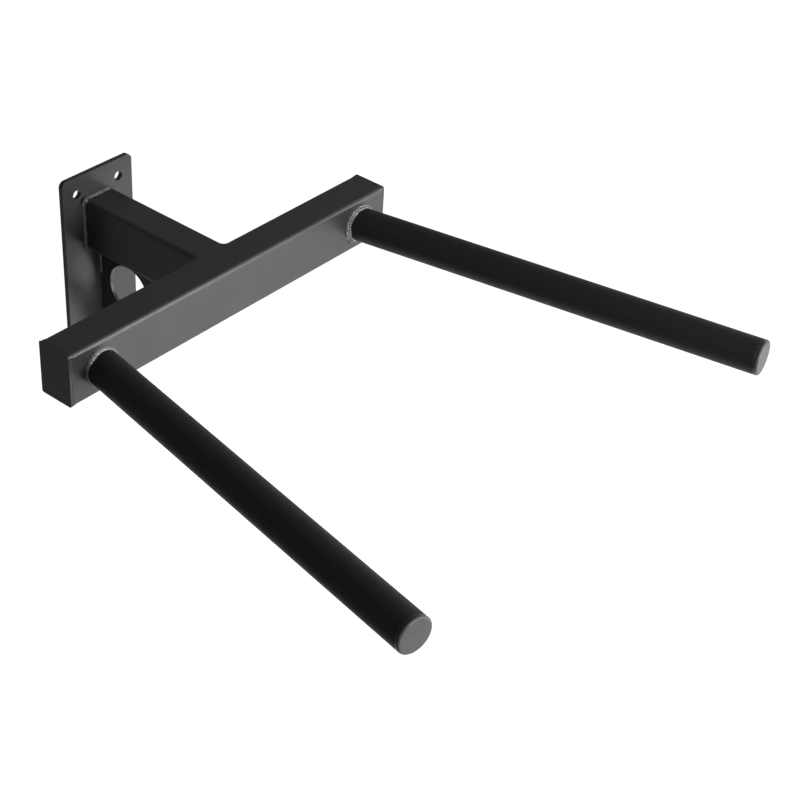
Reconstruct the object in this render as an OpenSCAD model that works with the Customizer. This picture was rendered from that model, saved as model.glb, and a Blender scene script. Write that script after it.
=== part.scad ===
// Wall-mounted dip station: a wall plate, an arm with a gusset, a crossbeam and two splayed handles.
// Millimetres. The origin is the centre of the wall plate's back face. +Z is up, +Y points into
// the wall, and X runs along the crossbeam. Left is -X, as seen by someone who faces the wall.

/* [Wall plate] */
// Width of the wall plate
plate_w = 100; // [90:1:140]
// Height of the wall plate
plate_h = 250; // [240:5:320]
// Thickness of the wall plate
plate_t = 6; // [4:0.5:12]
// Radius of the wall plate's corners
plate_corner_r = 7; // [2:0.5:15]
// Diameter of each of the four bolt holes
bolt_d = 11; // [6:0.5:13]
// Centre of a bolt hole to the plate's side edge
bolt_side = 20; // [14:1:22]
// Centre of a bolt hole to the plate's top or bottom edge
bolt_end = 21; // [14:1:30]

/* [Box tube of the arm and the crossbeam] */
// Narrow side of the box tube, which lies level
tube_w = 42; // [34:1:50]
// Wide side of the box tube, which stands upright
tube_h = 60; // [56:1:72]
// Wall of the box tube
tube_wall = 3; // [2:0.5:3.5]
// Outer radius of the box tube's long edges
tube_r = 4.5; // [4:0.5:6]

/* [Arm] */
// Length of the arm, from the wall plate to the crossbeam
arm_len = 168; // [155:1:300]
// Top of the arm below the top edge of the wall plate
arm_drop = 31; // [28:1:38]

/* [Crossbeam] */
// Length of the crossbeam over its end plates
beam_len = 465; // [380:5:650]
// Thickness of the crossbeam's end plates
beam_end_t = 3; // [2:0.5:6]
// Radius of the end plates' corners, which are ground nearly as round as the tube
beam_end_r = 2.8; // [0.5:0.1:3.5]

/* [Handles] */
// Outer diameter of the handle tubes
handle_d = 38; // [30:1:42]
// Wall of the handle tubes
handle_wall = 2.5; // [1.5:0.5:4]
// Length of a handle tube along its axis, from the crossbeam's front face
handle_len = 468; // [300:1:650]
// Centre of a handle's root to the end of the crossbeam
handle_inset = 41; // [36:0.5:80]
// Angle by which each handle turns outwards
handle_splay = 10.5; // [0:0.5:18]
// Chamfer on the outer edge of the handle tube's open end
handle_chamfer = 0.6; // [0.2:0.1:1.2]

/* [Handle end plugs] */
// Thickness of the plug's head, which shows beyond the tube
plug_head_t = 5; // [3:0.5:12]
// Radius of the head's outer edge
plug_round_r = 2; // [0.5:0.25:2.5]
// Length of the plug's stem inside the tube
plug_stem_len = 24; // [18:1:40]
// Wall of the plug's hollow stem
plug_stem_wall = 2; // [1.2:0.2:4]
// Number of grip ribs round the stem
plug_ribs = 4; // [2:1:5]
// Width of a rib along the stem
plug_rib_w = 1.2; // [0.8:0.2:2]
// Height of a rib above the stem
plug_rib_h = 1.2; // [0.5:0.1:2]
// Radial clearance between the ribs and the tube's bore
plug_fit = 0.1; // [0.05:0.05:0.5]

/* [Gusset] */
// Length of the gusset's two equal legs, if its tips were sharp
gusset_leg = 150; // [125:1:155]
// Thickness of the gusset
gusset_t = 4; // [3:0.5:8]
// Diameter of the round hole in the middle of the gusset
gusset_hole_d = 58; // [30:1:62]
// Width of the blunt tips
gusset_tip = 10; // [5:1:20]
// Clearance of the gusset's clipped inner corner from the bead that it spans
gusset_corner_gap = 3; // [2:0.5:8]

/* [Welds] */
// Leg of the beads round the arm's foot and round the handles' roots
weld_leg = 4; // [3:0.5:5]
// Radius of the hollow ground into the upright welds between the arm and the crossbeam
joint_r = 5; // [3:0.5:8]
// Leg of the stitch beads along both sides of the gusset
gusset_weld_leg = 3; // [2:0.5:5]
// Length of each stitch bead, one at either end of each of the gusset's legs
gusset_weld_len = 32; // [20:1:45]
// Width of the ground seam between the crossbeam and each end plate
seam_w = 2; // [1:0.5:4]
// Depth of that seam into the tube's wall
seam_depth = 1.5; // [0.5:0.25:1.75]

/* [Hidden] */
$fn = 96;

left = -1;
right = 1;
steel_black = [0.17, 0.17, 0.18];
handle_black = [0.11, 0.11, 0.11];
plug_grey = [0.30, 0.30, 0.30];
bead_grey = [0.40, 0.40, 0.41];

// Cutting tools reach past the faces that they cut by this much
over = 1;
// Centre of a bead's round face behind the corner, as a share of the bead's leg
bead_crown = 0.25;
bead_flats = 4;
// Inner radius of the box tube's long edges
tube_inner_r = max(tube_r - tube_wall, 0.5);

// Middle height of the box tubes, and so of the handles
axis_z = plate_h / 2 - arm_drop - tube_h / 2;
arm_bottom_z = axis_z - tube_h / 2;
plate_front_y = -plate_t;
beam_back_y = plate_front_y - arm_len;
beam_mid_y = beam_back_y - tube_w / 2;
beam_front_y = beam_back_y - tube_w;
beam_tube_len = beam_len - 2 * beam_end_t;

bolt_x = plate_w / 2 - bolt_side;
bolt_z = plate_h / 2 - bolt_end;

handle_root_x = beam_len / 2 - handle_inset;
handle_bore_r = handle_d / 2 - handle_wall;
// The slanted root needs this much spare tube behind the crossbeam's front face
handle_spare = handle_d / 2 * tan(handle_splay) + over;

plug_rib_r = handle_bore_r - plug_fit;
plug_stem_r = plug_rib_r - plug_rib_h;
plug_rib_pitch = plug_stem_len / (plug_ribs + 1);

// The clipped corner lies beyond the bead round the arm's foot
gusset_corner = weld_leg + gusset_corner_gap;
gusset_len = gusset_leg - gusset_tip;
// The hole sits in the middle of the triangle, as far from each side
gusset_hole_at = gusset_leg * (1 - sqrt(1 / 2));

// Rectangle centred on the origin with round corners
module rounded_rect(w, h, r) {
    square([w - 2 * r, h], center = true);
    square([w, h - 2 * r], center = true);
    for (x = [-1, 1], y = [-1, 1])
        translate([x * (w / 2 - r), y * (h / 2 - r)])
            circle(r);
}

// Face of a weld bead from [leg, 0] to [0, leg]: an arc in flats, whose centre lies behind the corner
function bead_face(leg) =
    let (bulge = leg * bead_crown)
    let (reach = norm([leg + bulge, bulge]))
    let (from = atan2(bulge, leg + bulge))
    let (step = (90 - 2 * from) / bead_flats)
    [
        [leg, 0],
        for (i = [1 : bead_flats - 1])
            reach * [cos(from + i * step), sin(from + i * step)] - [bulge, bulge],
        [0, leg],
    ];

// Section of a weld bead in the corner between the X axis and the Y axis
module bead_section(leg) {
    polygon([[0, 0], each bead_face(leg)]);
}

// Bead that stands on z = 0 all round a box of w by h with long edges of radius r
module bead_loop(w, h, r, leg) {
    for (turn = [0, 180]) {
        rotate(turn)
            translate([w / 2, 0, 0])
                rotate([90, 0, 0])
                    linear_extrude(h - 2 * r, center = true)
                        bead_section(leg);
        rotate(turn + 90)
            translate([h / 2, 0, 0])
                rotate([90, 0, 0])
                    linear_extrude(w - 2 * r, center = true)
                        bead_section(leg);
    }
    for (x = [0, 1], y = [0, 1])
        mirror([x, 0, 0])
            mirror([0, y, 0])
                translate([w / 2 - r, h / 2 - r, 0])
                    rotate_extrude(angle = 90)
                        translate([r, 0])
                            bead_section(leg);
}

// Outline of the box tube's outside, shrunk by inset all round
module tube_outline(inset = 0) {
    rounded_rect(tube_w - 2 * inset, tube_h - 2 * inset, tube_r - inset);
}

module tube_bore_outline() {
    rounded_rect(tube_w - 2 * tube_wall, tube_h - 2 * tube_wall, tube_inner_r);
}

// Lays an upright extrusion along the crossbeam, centred on it
module along_beam() {
    translate([0, beam_mid_y, axis_z])
        rotate([90, 0, 90])
            children();
}

// Lays an upright extrusion along the arm, from the wall plate outwards
module along_arm() {
    translate([0, plate_front_y, axis_z])
        rotate([90, 0, 0])
            children();
}

// Places children at a handle's root, with their Z axis square to the crossbeam and turned by splay
module at_handle(side, splay = handle_splay) {
    translate([side * handle_root_x, beam_front_y, axis_z])
        rotate([90, 0, side * splay])
            children();
}

module handle_bar(side) {
    at_handle(side)
        translate([0, 0, -handle_spare])
            cylinder(d = handle_d, h = handle_len + handle_spare);
}

module wall_plate() {
    color(steel_black)
        rotate([90, 0, 0])
            difference() {
                linear_extrude(plate_t)
                    rounded_rect(plate_w, plate_h, plate_corner_r);
                for (x = [-1, 1], z = [-1, 1])
                    translate([x * bolt_x, z * bolt_z, -over])
                        cylinder(d = bolt_d, h = plate_t + 2 * over);
            }
}

module arm_tube() {
    color(steel_black)
        along_arm()
            linear_extrude(arm_len)
                difference() {
                    tube_outline();
                    tube_bore_outline();
                }
}

module gusset_plate() {
    color(steel_black)
        translate([0, plate_front_y, arm_bottom_z])
            rotate([0, 90, 0])
                mirror([0, 1, 0])
                    difference() {
                        linear_extrude(gusset_t, center = true)
                            polygon([
                                [gusset_corner, 0],
                                [gusset_len, 0],
                                [gusset_len, gusset_tip],
                                [gusset_tip, gusset_len],
                                [0, gusset_len],
                                [0, gusset_corner],
                            ]);
                        translate([gusset_hole_at, gusset_hole_at, 0])
                            cylinder(d = gusset_hole_d, h = gusset_t + 2 * over, center = true);
                    }
}

module crossbeam_tube() {
    color(steel_black)
        along_beam()
            difference() {
                union() {
                    linear_extrude(beam_tube_len - 2 * seam_w, center = true)
                        tube_outline();
                    linear_extrude(beam_tube_len, center = true)
                        tube_outline(seam_depth);
                }
                linear_extrude(beam_tube_len + 2 * over, center = true)
                    tube_bore_outline();
            }
}

module crossbeam_end_plate(side) {
    color(steel_black)
        along_beam()
            translate([0, 0, side * (beam_len - beam_end_t) / 2])
                linear_extrude(beam_end_t, center = true)
                    rounded_rect(tube_w, tube_h, beam_end_r);
}

module handle_tube(side) {
    color(handle_black)
        difference() {
            at_handle(side)
                rotate_extrude()
                    polygon([
                        [handle_bore_r, -handle_spare],
                        [handle_d / 2, -handle_spare],
                        [handle_d / 2, handle_len - handle_chamfer],
                        [handle_d / 2 - handle_chamfer, handle_len],
                        [handle_bore_r, handle_len],
                    ]);
            // the crossbeam's front face mitres the root
            translate([side * handle_root_x - handle_d, beam_front_y, axis_z - handle_d])
                cube([2 * handle_d, 2 * handle_spare, 2 * handle_d]);
        }
}

module handle_end_plug(side) {
    color(plug_grey)
        at_handle(side)
            translate([0, 0, handle_len])
                rotate_extrude() {
                    // head
                    polygon([
                        [0, 0],
                        [handle_d / 2 - handle_chamfer, 0],
                        [handle_d / 2, handle_chamfer],
                        [handle_d / 2, plug_head_t - plug_round_r],
                        [handle_d / 2 - plug_round_r, plug_head_t],
                        [0, plug_head_t],
                    ]);
                    translate([handle_d / 2 - plug_round_r, plug_head_t - plug_round_r])
                        circle(plug_round_r);
                    // stem
                    translate([plug_stem_r - plug_stem_wall, -plug_stem_len])
                        square([plug_stem_wall, plug_stem_len + over]);
                    // ribs
                    for (i = [1 : plug_ribs])
                        translate([plug_stem_r - plug_stem_wall / 2, -i * plug_rib_pitch - plug_rib_w / 2])
                            square([plug_stem_wall / 2 + plug_rib_h, plug_rib_w]);
                }
}

module weld_arm_to_wall_plate() {
    color(bead_grey)
        along_arm()
            bead_loop(tube_w, tube_h, tube_r, weld_leg);
}

// The fill stops short of where its hollow corners would run out to nothing
joint_reach = 0.85 * joint_r;

// Round space in an inner corner of the joint: its rim has the tubes' own rounding
module joint_hollow() {
    rotate_extrude()
        difference() {
            square([joint_r + tube_r, tube_h]);
            translate([joint_r + tube_w / 2, tube_h / 2])
                tube_outline();
        }
}

// Weld between the arm and the crossbeam, ground flush above and below and hollow at both sides
module weld_arm_to_crossbeam() {
    half_w = tube_w / 2;
    color(bead_grey)
        difference() {
            translate([-half_w - joint_reach, beam_back_y - tube_r, arm_bottom_z])
                cube([tube_w + 2 * joint_reach, tube_r + joint_reach, tube_h]);
            for (side = [-1, 1])
                translate([side * (half_w + joint_r), beam_back_y + joint_r, arm_bottom_z])
                    joint_hollow();
            along_arm()
                linear_extrude(arm_len)
                    tube_outline();
            along_beam()
                linear_extrude(beam_len, center = true)
                    tube_outline();
        }
}

// Stitch beads on both sides of one of the gusset's legs, which runs up from z = 0
module gusset_stitches() {
    for (flip = [0, 1], start = [gusset_corner, gusset_len - gusset_weld_len])
        mirror([flip, 0, 0])
            translate([gusset_t / 2, 0, start])
                linear_extrude(gusset_weld_len)
                    bead_section(gusset_weld_leg);
}

module weld_gusset_to_wall_plate() {
    color(bead_grey)
        translate([0, plate_front_y, arm_bottom_z])
            rotate([180, 0, 0])
                gusset_stitches();
}

module weld_gusset_to_arm() {
    color(bead_grey)
        translate([0, plate_front_y, arm_bottom_z])
            mirror([0, 0, 1])
                rotate([90, 0, 0])
                    gusset_stitches();
}

// Bead round a handle's root, which follows the slanted tube
module weld_handle(side) {
    color(bead_grey)
        difference() {
            at_handle(side, 0)
                rotate_extrude() {
                    square([handle_d / 2, weld_leg]);
                    translate([handle_d / 2, 0])
                        bead_section(weld_leg);
                }
            handle_bar(side);
        }
}

// Seam between the crossbeam's tube and an end plate, ground flush
module weld_end_plate(side) {
    color(bead_grey)
        along_beam()
            translate([0, 0, side * (beam_tube_len - seam_w) / 2])
                linear_extrude(seam_w, center = true)
                    difference() {
                        tube_outline();
                        tube_outline(seam_depth);
                    }
}

wall_plate();
arm_tube();
gusset_plate();
crossbeam_tube();
crossbeam_end_plate(left);  // crossbeam_end_plate_left
crossbeam_end_plate(right);  // crossbeam_end_plate_right
handle_tube(left);  // handle_tube_left
handle_tube(right);  // handle_tube_right
handle_end_plug(left);  // handle_end_plug_left
handle_end_plug(right);  // handle_end_plug_right
weld_arm_to_wall_plate();
weld_arm_to_crossbeam();
weld_gusset_to_wall_plate();
weld_gusset_to_arm();
weld_handle(left);  // weld_handle_left
weld_handle(right);  // weld_handle_right
weld_end_plate(left);  // weld_end_plate_left
weld_end_plate(right);  // weld_end_plate_right
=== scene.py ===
"""Looks of a wall-mounted dip station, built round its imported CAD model.

Metres, in the CAD frame: the origin is the centre of the wall plate's back face, +Z is up, +Y points
into the wall, and X runs along the crossbeam. Left is -X, as seen by someone who faces the wall.

Each sub-assembly is a class with its sizes as fields, which builds its meshes and dresses them. main()
runs the classes in order: the steel, the beads, plugs and seams, the spatter, and then the studio.
"""

import logging
import math
import random
from dataclasses import dataclass, field
from enum import Enum
from typing import Callable, Sequence

import bpy
from mathutils import Matrix, Vector


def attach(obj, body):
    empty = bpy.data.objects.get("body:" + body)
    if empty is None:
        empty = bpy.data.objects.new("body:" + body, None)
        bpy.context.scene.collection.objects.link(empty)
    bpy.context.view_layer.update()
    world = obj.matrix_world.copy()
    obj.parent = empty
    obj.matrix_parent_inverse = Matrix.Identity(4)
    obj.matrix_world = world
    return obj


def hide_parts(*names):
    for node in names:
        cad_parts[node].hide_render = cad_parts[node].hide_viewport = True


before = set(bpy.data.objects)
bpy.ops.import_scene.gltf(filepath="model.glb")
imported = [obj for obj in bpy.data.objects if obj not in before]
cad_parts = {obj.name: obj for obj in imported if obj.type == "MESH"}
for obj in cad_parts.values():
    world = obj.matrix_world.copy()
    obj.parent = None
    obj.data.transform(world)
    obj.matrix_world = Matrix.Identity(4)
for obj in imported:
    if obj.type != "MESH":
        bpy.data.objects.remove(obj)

LOG = logging.getLogger("dip_station")
MM = 0.001
ROOT_BODY = "root"
# Distance in metres within which the points of a wrapped skin are one
SAME_POINT = 1e-7
# Slack for shares that should be exactly 1
ROUNDING = 1e-9
# Blue of a neutral tone, to its red and green
BLUE_SHARE = 1.01
WHITE = (1.0, 1.0, 1.0, 1.0)
BLACK = (0.0, 0.0, 0.0, 1.0)

# A place on a bead's run: the corner between the two joined faces, and the way along each face from it
BeadStation = tuple[Vector, Vector, Vector]
# A lump or a swell on a bead: its share of the run, its height or extra fullness, and its half width
Spot = tuple[float, float, float]
# Two limits that a value is stretched between
Limits = tuple[float, float]


class Side(Enum):
    """Left or right, with its sign along X."""

    LEFT = -1
    RIGHT = 1

    @property
    def word(self) -> str:
        """Name as it stands in the CAD nodes."""
        return self.name.lower()


class Slot(Enum):
    """The record's material slots of the pieces that are modelled anew."""

    PLUG = "end_plug"
    WELD = "weld_coat"


# Shader effects that several finishes share


class EffectGroup:
    """A shader node group with named sockets, filled by small node helpers."""

    def __init__(self, name: str) -> None:
        """Start an empty group.

        Args:
            name: Name of the group.
        """
        self.tree = bpy.data.node_groups.new(name, "ShaderNodeTree")
        self.into = self.tree.nodes.new("NodeGroupInput")
        self.out = self.tree.nodes.new("NodeGroupOutput")

    def take(self, name: str, default: float) -> bpy.types.NodeSocket:
        """Add a number input.

        Args:
            name: Name of the socket.
            default: Its value where nothing else is set.

        Returns:
            The socket to link from inside the group.
        """
        socket = self.tree.interface.new_socket(name=name, in_out="INPUT", socket_type="NodeSocketFloat")
        socket.default_value = default
        return self.into.outputs[name]

    def give(self, name: str, source: bpy.types.NodeSocket) -> None:
        """Add a number output and link it.

        Args:
            name: Name of the socket.
            source: What it puts out.
        """
        self.tree.interface.new_socket(name=name, in_out="OUTPUT", socket_type="NodeSocketFloat")
        self.tree.links.new(source, self.out.inputs[name])

    def node(self, kind: str, links: dict[str | int, bpy.types.NodeSocket] | None = None,
             **settings: object) -> bpy.types.Node:
        """Add a node inside the group.

        Args:
            kind: Blender's name of the node type.
            links: Sockets that feed its inputs, by input name or number.
            **settings: Node properties, or input values by their name in lower case.

        Returns:
            The node.
        """
        return add_node(self.tree, kind, links, **settings)

    def stretch(self, source: bpy.types.NodeSocket, limits: Limits) -> bpy.types.NodeSocket:
        """Stretch a value so that it runs from 0 at one limit to 1 at the other.

        Args:
            source: The value.
            limits: What becomes 0, and what becomes 1.

        Returns:
            The stretched value, held between 0 and 1.
        """
        low, high = limits
        return self.node("ShaderNodeMapRange", {"Value": source}, from_min=low, from_max=high).outputs[0]

    def times(self, source: bpy.types.NodeSocket, factor: float) -> bpy.types.NodeSocket:
        """Multiply a value by a number.

        Args:
            source: The value.
            factor: The number.

        Returns:
            The product.
        """
        product = self.node("ShaderNodeMath", {0: source}, operation="MULTIPLY")
        product.inputs[1].default_value = factor
        return product.outputs[0]


def add_node(tree: bpy.types.NodeTree, kind: str, links: dict[str | int, bpy.types.NodeSocket] | None = None,
             **settings: object) -> bpy.types.Node:
    """Add a shader node with its values and links.

    Args:
        tree: Node tree that gets the node.
        kind: Blender's name of the node type.
        links: Sockets that feed its inputs, by input name or number.
        **settings: Node properties, or input values by their name in lower case with _ for a space.

    Returns:
        The node.
    """
    node = tree.nodes.new(kind)
    values = {}
    for key, value in settings.items():
        if hasattr(node, key):
            setattr(node, key, value)
        else:
            values[key] = value
    named = {socket.name.lower().replace(" ", "_"): socket for socket in reversed(node.inputs)}
    for key, value in values.items():
        named[key].default_value = value
    for key, source in (links or {}).items():
        tree.links.new(source, node.inputs[key])
    return node


@dataclass
class Effects:
    """The node groups, each built once.

    Attributes:
        cloud_limits: Noise that becomes 0 and 1 in the tone and the gloss.
        patches_per_cloud: How much finer the gloss patches are than the clouds.
        bend_limits: Dot product of the rounded and the plain normal at which an edge starts and is full.
        worn_limits: Noise that becomes 0 and 1 in an edge's ragged wear.
        worn_scale: Bumps to the metre in that noise.
        waves_per_grain: How much coarser the grit's waves are than its grains.
        fleck_limits: Noise that becomes 0 and 1 in the flecks.
    """

    cloud_limits: Limits = (0.3, 0.7)
    patches_per_cloud: float = 5.0
    bend_limits: Limits = (0.985, 0.86)
    worn_limits: Limits = (0.34, 0.62)
    worn_scale: float = 160.0
    waves_per_grain: float = 0.3
    fleck_limits: Limits = (0.35, 0.65)
    powder_skin: bpy.types.ShaderNodeTree = field(init=False)
    thin_edges: bpy.types.ShaderNodeTree = field(init=False)
    grit: bpy.types.ShaderNodeTree = field(init=False)

    def __post_init__(self) -> None:
        """Build all the groups."""
        self.powder_skin = self._powder_skin()
        self.thin_edges = self._thin_edges()
        self.grit = self._grit()

    def _powder_skin(self) -> bpy.types.ShaderNodeTree:
        """Baked powder: fine orange peel, soft cloudy tone and patches of more or less gloss.

        Returns:
            A group from Peel and Cloud, both in bumps to the metre, to Height, Tone and Gloss, all 0 to 1.
        """
        group = EffectGroup("powder_skin")
        peel = group.take("Peel", 900.0)
        cloud = group.take("Cloud", 22.0)
        place = group.node("ShaderNodeTexCoord").outputs["Object"]
        fine = group.node("ShaderNodeTexNoise", {"Vector": place, "Scale": peel}, detail=2.0, roughness=0.45)
        slow = group.node("ShaderNodeTexNoise", {"Vector": place, "Scale": cloud}, detail=3.0, roughness=0.6)
        patch_scale = group.times(cloud, self.patches_per_cloud)
        patch = group.node("ShaderNodeTexNoise", {"Vector": place, "Scale": patch_scale}, detail=4.0,
                           roughness=0.65)
        group.give("Height", fine.outputs[0])
        group.give("Tone", group.stretch(slow.outputs[0], self.cloud_limits))
        group.give("Gloss", group.stretch(patch.outputs[0], self.cloud_limits))
        return group.tree

    def _thin_edges(self) -> bpy.types.ShaderNodeTree:
        """Where powder draws back from an outer edge, so that the edge looks paler and smoother; where a
        coat sets its edge tone far above its base, this is a painted edge highlight.

        Returns:
            A group from Reach, in metres, to Edge, which is 1 on an edge and 0 away from it.
        """
        group = EffectGroup("thin_edges")
        reach = group.take("Reach", 0.7 * MM)
        place = group.node("ShaderNodeTexCoord").outputs["Object"]
        rounded = group.node("ShaderNodeBevel", {"Radius": reach}, samples=4)
        facing = group.node("ShaderNodeNewGeometry").outputs["Normal"]
        same = group.node("ShaderNodeVectorMath", {0: rounded.outputs[0], 1: facing},
                          operation="DOT_PRODUCT")
        bend = group.stretch(same.outputs["Value"], self.bend_limits)
        ragged = group.node("ShaderNodeTexNoise", {"Vector": place}, scale=self.worn_scale, detail=4.0,
                            roughness=0.7)
        worn = group.stretch(ragged.outputs[0], self.worn_limits)
        edge = group.node("ShaderNodeMath", {0: bend, 1: worn}, operation="MULTIPLY", use_clamp=True)
        group.give("Edge", edge.outputs[0])
        return group.tree

    def _grit(self) -> bpy.types.ShaderNodeTree:
        """Fine raised grain of a textured coat or of moulded plastic.

        Returns:
            A group from Grain, in grains to the metre, to Height and Fleck, both 0 to 1.
        """
        group = EffectGroup("grit")
        grain = group.take("Grain", 1500.0)
        place = group.node("ShaderNodeTexCoord").outputs["Object"]
        cells = group.node("ShaderNodeTexVoronoi", {"Vector": place, "Scale": grain}, randomness=1.0)
        broad = group.times(grain, self.waves_per_grain)
        waves = group.node("ShaderNodeTexNoise", {"Vector": place, "Scale": broad}, detail=3.0,
                           roughness=0.6)
        height = group.node("ShaderNodeMath", {0: cells.outputs["Distance"], 1: waves.outputs[0]},
                            operation="ADD")
        group.give("Height", height.outputs[0])
        group.give("Fleck", group.stretch(waves.outputs[0], self.fleck_limits))
        return group.tree


# Finishes


@dataclass(frozen=True)
class PowderCoat:
    """Satin black powder on steel, as on the plate, the tubes and the beads; the beads' copy is painted
    paler as a sheen.

    Attributes:
        name: Name of the material.
        base: Grey level of the coat.
        cloud_swing: Share by which the clouds darken and lighten it.
        edge_tone: Grey level on an edge, where the coat is thin; on the beads it is a painted highlight.
        rough_low: Roughness of the glossiest patches.
        rough_high: Roughness of the dullest patches.
        edge_rough: Roughness on an edge.
        peel: Bumps of orange peel to the metre.
        cloud: Clouds to the metre.
        bump: Strength of the peel.
        depth: Depth of the peel.
    """

    name: str
    base: float = 0.031
    cloud_swing: float = 0.12
    edge_tone: float = 0.040
    rough_low: float = 0.30
    rough_high: float = 0.39
    edge_rough: float = 0.38
    peel: float = 420.0
    cloud: float = 22.0
    bump: float = 0.30
    depth: float = 0.06 * MM

    def material(self, effects: Effects) -> bpy.types.Material:
        """Build the material.

        Args:
            effects: The shared node groups.

        Returns:
            The material.
        """
        made, tree, shader = new_material(self.name)
        skin = add_node(tree, "ShaderNodeGroup", node_tree=effects.powder_skin, peel=self.peel,
                        cloud=self.cloud)
        edges = add_node(tree, "ShaderNodeGroup", node_tree=effects.thin_edges)
        low, high = self.base * (1 - self.cloud_swing), self.base * (1 + self.cloud_swing)
        tone = mix_colour(tree, skin.outputs["Tone"], low, high)
        colour = mix_colour(tree, edges.outputs["Edge"], tone, self.edge_tone)
        tree.links.new(colour, shader.inputs["Base Color"])
        rough = add_node(tree, "ShaderNodeMapRange", {"Value": skin.outputs["Gloss"]},
                         to_min=self.rough_low, to_max=self.rough_high)
        eased = add_node(tree, "ShaderNodeMix", {"Factor": edges.outputs["Edge"], "A": rough.outputs[0]},
                         data_type="FLOAT")
        eased.inputs["B"].default_value = self.edge_rough
        tree.links.new(eased.outputs[0], shader.inputs["Roughness"])
        link_bump(tree, shader, skin.outputs["Height"], self.bump, self.depth)
        return made


@dataclass(frozen=True)
class GritCoat:
    """Matt coat or plastic with a fine grain, as on the handles and the plugs.

    Attributes:
        name: Name of the material.
        base: Grey level of the coat.
        cloud_low: Share of that level in the darkest clouds.
        cloud_high: Share of that level in the palest clouds.
        fleck_tone: Grey level of the flecks.
        edge_tone: Grey level on an edge; far above the base, it is a painted highlight along the rims.
        rough_low: Roughness of the glossiest patches.
        rough_high: Roughness of the dullest patches.
        specular: Strength of the plain reflection.
        grain: Grains to the metre.
        bump: Strength of the grain.
        depth: Depth of the grain.
        cloud: Clouds to the metre.
    """

    name: str
    base: float = 0.006
    cloud_low: float = 0.90
    cloud_high: float = 1.12
    fleck_tone: float = 0.009
    # Edge tone far above the base: a painted highlight on the handle tubes' eased rims
    edge_tone: float = 0.22
    rough_low: float = 0.56
    rough_high: float = 0.68
    specular: float = 0.28
    grain: float = 1500.0
    bump: float = 0.35
    depth: float = 0.06 * MM
    cloud: float = 14.0

    def material(self, effects: Effects) -> bpy.types.Material:
        """Build the material.

        Args:
            effects: The shared node groups.

        Returns:
            The material.
        """
        made, tree, shader = new_material(self.name)
        grit = add_node(tree, "ShaderNodeGroup", node_tree=effects.grit, grain=self.grain)
        skin = add_node(tree, "ShaderNodeGroup", node_tree=effects.powder_skin, cloud=self.cloud)
        low, high = self.base * self.cloud_low, self.base * self.cloud_high
        cloudy = mix_colour(tree, skin.outputs["Tone"], low, high)
        grainy = mix_colour(tree, grit.outputs["Fleck"], cloudy, self.fleck_tone)
        edges = add_node(tree, "ShaderNodeGroup", node_tree=effects.thin_edges)
        colour = mix_colour(tree, edges.outputs["Edge"], grainy, self.edge_tone)
        tree.links.new(colour, shader.inputs["Base Color"])
        rough = add_node(tree, "ShaderNodeMapRange", {"Value": skin.outputs["Gloss"]},
                         to_min=self.rough_low, to_max=self.rough_high)
        tree.links.new(rough.outputs[0], shader.inputs["Roughness"])
        shader.inputs["Specular IOR Level"].default_value = self.specular
        link_bump(tree, shader, grit.outputs["Height"], self.bump, self.depth)
        return made


FRAME_COAT = PowderCoat("satin_powder_black")
# The beads' coat is the frame's black powder painted about five times paler, with a paler edge, as a painted
# sheen and glint
BEAD_COAT_PAINTED_SHEEN = PowderCoat("coated_bead_black", base=0.150, edge_tone=0.21, rough_low=0.16, rough_high=0.26,
                       edge_rough=0.18, cloud=90.0, cloud_swing=0.35, bump=0.35)
FOOT_COAT = PowderCoat("foot_bead_black", base=0.038, edge_tone=0.08, rough_low=0.22, rough_high=0.36,
                       edge_rough=0.20, cloud=90.0, cloud_swing=0.30)
GRIP_COAT = GritCoat("matt_grip_black")
PLUG_COAT = GritCoat("moulded_plug_grey", base=0.042, fleck_tone=0.056, edge_tone=0.08, rough_low=0.36,
                     rough_high=0.50, specular=0.36, grain=1100.0, bump=0.10, cloud=60.0)


def new_material(name: str) -> tuple[bpy.types.Material, bpy.types.ShaderNodeTree, bpy.types.Node]:
    """Make an empty material with a Principled BSDF.

    Args:
        name: Name of the material.

    Returns:
        The material, its node tree and the shader node.
    """
    made = bpy.data.materials.new(name)
    made.use_nodes = True
    tree = made.node_tree
    return made, tree, tree.nodes["Principled BSDF"]


def grey(level: float) -> tuple[float, float, float, float]:
    """Grey of a level, with a trace of blue."""
    return (level, level, level * BLUE_SHARE, 1.0)


def mix_colour(tree: bpy.types.ShaderNodeTree, mask: bpy.types.NodeSocket,
               first: float | bpy.types.NodeSocket, second: float) -> bpy.types.NodeSocket:
    """Mix two neutral tones by a mask.

    Args:
        tree: The material's node tree.
        mask: 0 for the first tone, 1 for the second.
        first: Grey level, or the colour socket of an earlier mix.
        second: Grey level.

    Returns:
        The mixed colour's socket.
    """
    node = add_node(tree, "ShaderNodeMix", {"Factor": mask}, data_type="RGBA")
    colour_a, colour_b = [socket for socket in node.inputs if socket.type == "RGBA"][:2]
    colour_b.default_value = grey(second)
    if isinstance(first, float):
        colour_a.default_value = grey(first)
    else:
        tree.links.new(first, colour_a)
    return next(socket for socket in node.outputs if socket.type == "RGBA")


def link_bump(tree: bpy.types.ShaderNodeTree, shader: bpy.types.Node, height: bpy.types.NodeSocket,
              strength: float, depth: float) -> None:
    """Lead a height to a shader's normal.

    Args:
        tree: The material's node tree.
        shader: The Principled BSDF.
        height: Height from 0 to 1.
        strength: Strength of the bump.
        depth: Depth that a height of 1 stands for, in metres.
    """
    bump = add_node(tree, "ShaderNodeBump", {"Height": height}, strength=strength, distance=depth)
    tree.links.new(bump.outputs[0], shader.inputs["Normal"])


# Modelling helpers


def clear_selection() -> None:
    """Deselect every object, because the CAD nodes come in selected."""
    bpy.ops.object.select_all(action="DESELECT")


def name_piece(piece: bpy.types.Object, name: str) -> bpy.types.Object:
    """Give an object and its mesh the same name.

    Args:
        piece: The object.
        name: The name.

    Returns:
        The same object.
    """
    piece.name = name
    piece.data.name = name
    return piece


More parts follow.
